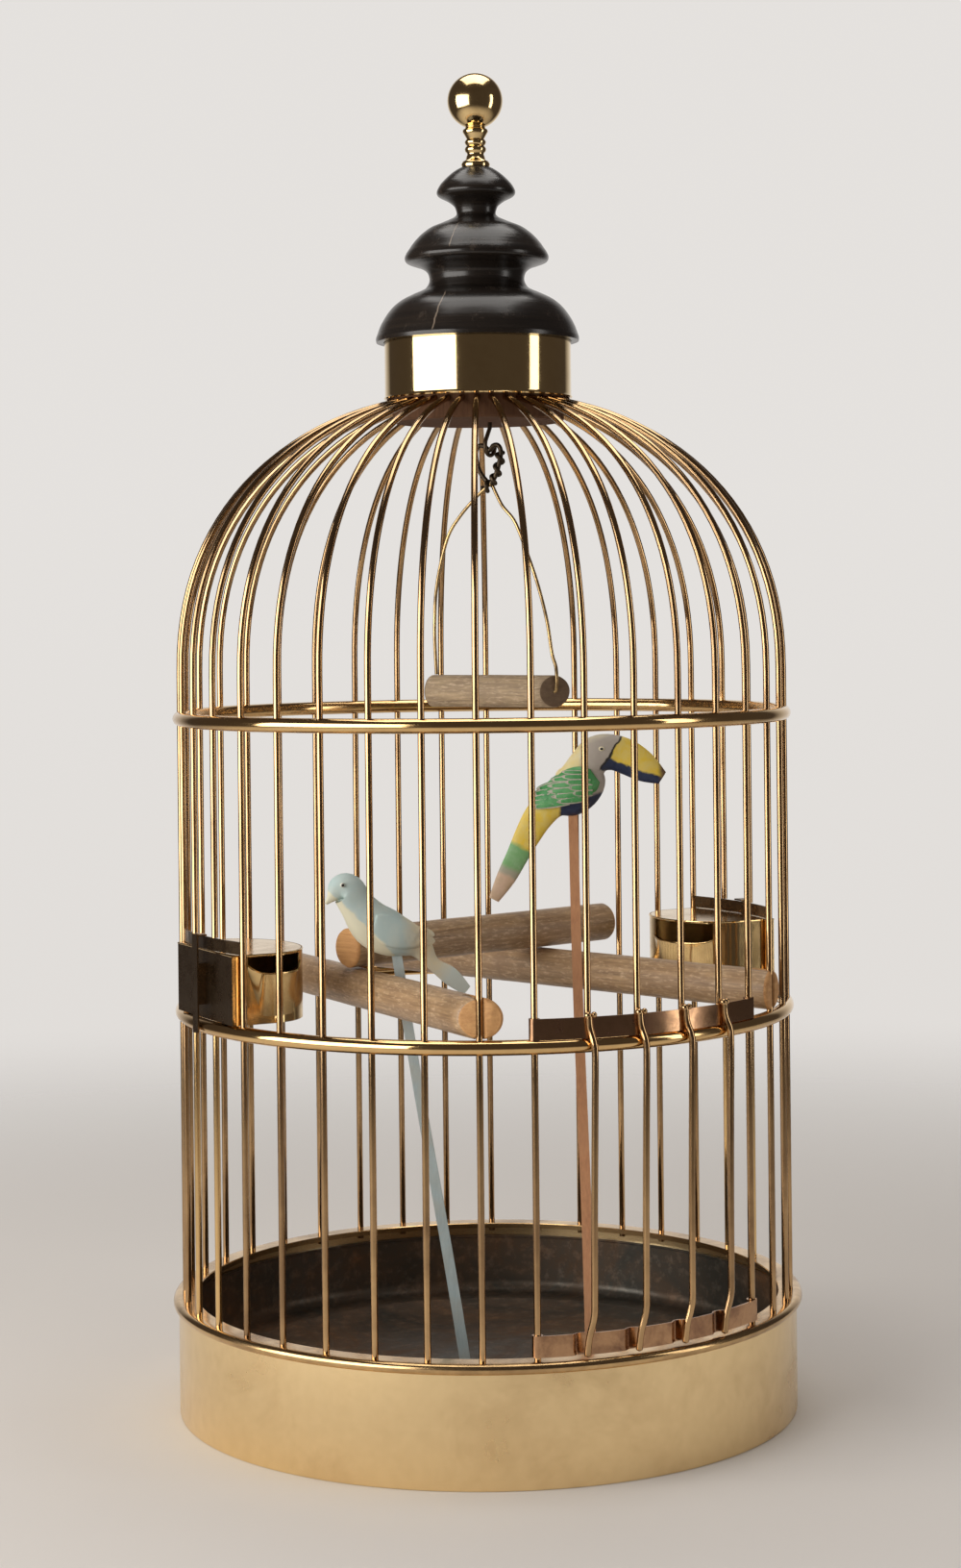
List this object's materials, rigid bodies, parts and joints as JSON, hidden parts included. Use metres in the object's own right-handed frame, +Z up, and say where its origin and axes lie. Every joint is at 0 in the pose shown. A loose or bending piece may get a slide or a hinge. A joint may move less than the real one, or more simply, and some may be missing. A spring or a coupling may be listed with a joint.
{
  "type": "birdcage",
  "caption": "Round domed brass wire birdcage with a lifting door, two pull-out feeders, wooden perches, a wire swing and two carved birds on sticks.",
  "frame": {"origin": "centre of the cage's underside, on the ground", "axes": "+Z up through the finial; the front bar stands on -Y; +X is to the right as seen from the front"},
  "size_m": [0.4654, 0.467, 0.9913],
  "materials": {
    "bar_brass": "polished drawn brass wire, lightly tarnished",
    "drum_brass": "satin brass sheet with faint smudges",
    "trim_brass": "polished brass",
    "collar_brass": "polished brass sheet",
    "knob_brass": "polished cast brass",
    "door_brass": "polished brass wire and strip, soldered",
    "feeder_brass": "polished brass sheet",
    "lintel_brass": "dull brass strip",
    "pan_tin": "rusted, browned tinplate",
    "disc_wood": "bare turned wood",
    "ebonised_wood": "ebonised, waxed, with two hairline checks",
    "perch_wood": "smooth grey-brown branch wood with orange sawn ends",
    "swing_wood": "weathered driftwood",
    "hook_iron": "dark iron wire",
    "swing_iron": "browned wire, dark at the ring",
    "blue_paint": "carved wood in flat pale blue and cream paint",
    "toucan_paint": "carved wood in grey, yellow, navy and green paint"
  },
  "bodies": {
    "cage": {"bar_00": "bar_brass", "bar_01": "bar_brass", "bar_02": "bar_brass", "bar_03": "bar_brass", "bar_04": "bar_brass", "bar_05": "bar_brass", "bar_06": "bar_brass", "bar_07": "bar_brass", "bar_08": "bar_brass", "bar_09": "bar_brass", "bar_10": "bar_brass", "bar_11": "bar_brass", "bar_12": "bar_brass", "bar_13": "bar_brass", "bar_14": "bar_brass", "bar_15": "bar_brass", "bar_16": "bar_brass", "bar_17": "bar_brass", "bar_18": "bar_brass", "bar_19": "bar_brass", "bar_20": "bar_brass", "bar_21": "bar_brass", "bar_22": "bar_brass", "bar_23": "bar_brass", "bar_24": "bar_brass", "bar_25": "bar_brass", "bar_26": "bar_brass", "bar_27": "bar_brass", "bar_28": "bar_brass", "bar_29": "bar_brass", "bar_30": "bar_brass", "bar_31": "bar_brass", "bar_32": "bar_brass", "bar_33": "bar_brass", "bar_34": "bar_brass", "bar_35": "bar_brass", "bar_36": "bar_brass", "bar_37": "bar_brass", "base_drum": "drum_brass", "base_pan": "pan_tin", "base_rim": "trim_brass", "bird_blue": "blue_paint", "bird_toucan": "toucan_paint", "collar_band": "collar_brass", "crown_disc": "disc_wood", "feeder_left_lintel": "lintel_brass", "feeder_right_lintel": "lintel_brass", "finial_knob": "knob_brass", "finial_turning": "ebonised_wood", "middle_hoop": "trim_brass", "perch_cross": "perch_wood", "perch_front": "perch_wood", "perch_right": "perch_wood", "swing_hook": "hook_iron", "upper_hoop": "trim_brass"},
    "door": {"door": "door_brass"},
    "feeder_left": {"feeder_left": "feeder_brass"},
    "feeder_right": {"feeder_right": "feeder_brass"},
    "swing": {"swing_wire": "swing_iron", "swing_dowel": "swing_wood"}
  },
  "joints": [
    {"name": "door_lift", "type": "slide", "parent": "cage", "child": "door", "axis": [0, 0, 1], "range_m": [0, 0.175]},
    {"name": "feeder_left_pull", "type": "slide", "parent": "cage", "child": "feeder_left", "axis": [-0.8795, -0.4759, 0], "range_m": [0, 0.065]},
    {"name": "feeder_right_pull", "type": "slide", "parent": "cage", "child": "feeder_right", "axis": [0.8795, 0.4759, 0], "range_m": [0, 0.065]},
    {"name": "swing_sway", "type": "hinge", "parent": "cage", "child": "swing", "pos_m": [0.0085, 0, 0.70919], "axis": [0.866, -0.5, 0], "range_deg": [-30, 30]}
  ]
}
